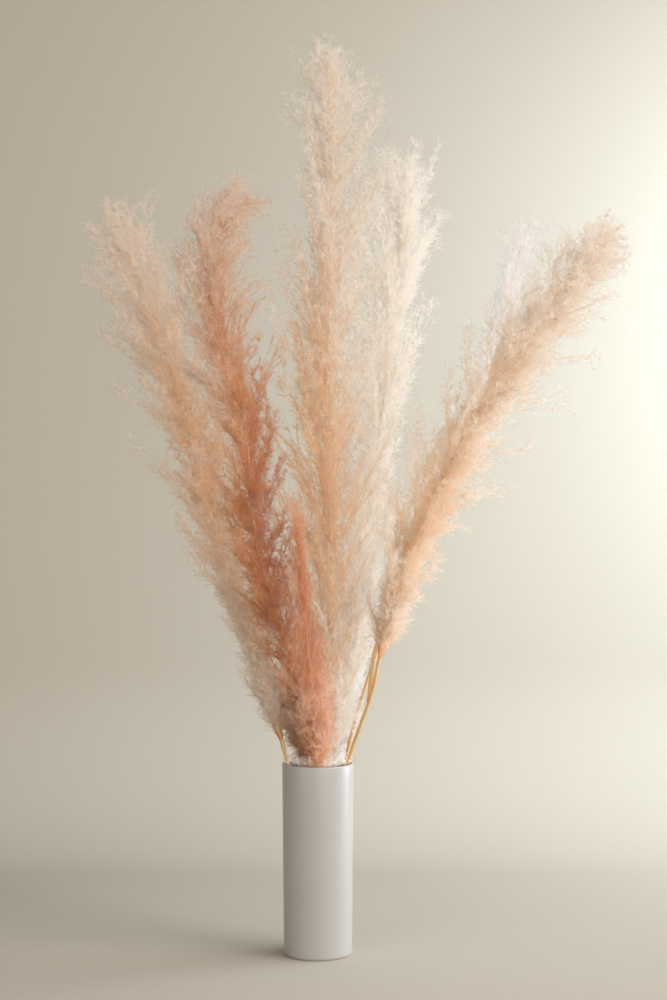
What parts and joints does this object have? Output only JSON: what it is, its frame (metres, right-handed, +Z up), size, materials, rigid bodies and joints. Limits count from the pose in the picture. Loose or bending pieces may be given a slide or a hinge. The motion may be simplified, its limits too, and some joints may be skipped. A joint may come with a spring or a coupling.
{
  "type": "bunch of dried pampas grass in a cylinder vase",
  "caption": "Dried pampas plumes on bare tan stems, fanned out in a plain white glazed cylinder vase that holds the bunch upright.",
  "frame": {"origin": "middle of the vase's underside, on the surface that it stands on", "axes": "+Z up along the vase; -Y towards the side that is mostly seen; +X to the right of it"},
  "size_m": [0.6912, 0.2765, 1.1654],
  "materials": {
    "white_glaze": "gloss",
    "dry_stem": "matte",
    "plume_beige": "matte",
    "plume_dusty_pink": "matte",
    "plume_ivory_peach": "matte",
    "plume_cream": "matte",
    "plume_peach": "matte",
    "plume_pale": "matte",
    "plume_salmon": "matte"
  },
  "bodies": {
    "root": {"vase": "white_glaze", "stem_left_airy": "dry_stem", "stem_left_dusty": "dry_stem", "stem_centre_tall": "dry_stem", "stem_centre_cream": "dry_stem", "stem_right_peach": "dry_stem", "stem_right_pale": "dry_stem", "stem_short_salmon": "dry_stem", "plume_left_airy": "plume_beige", "plume_left_dusty": "plume_dusty_pink", "plume_centre_tall": "plume_ivory_peach", "plume_centre_cream": "plume_cream", "plume_right_peach": "plume_peach", "plume_right_pale": "plume_pale", "plume_short_salmon": "plume_salmon"}
  },
  "joints": []
}
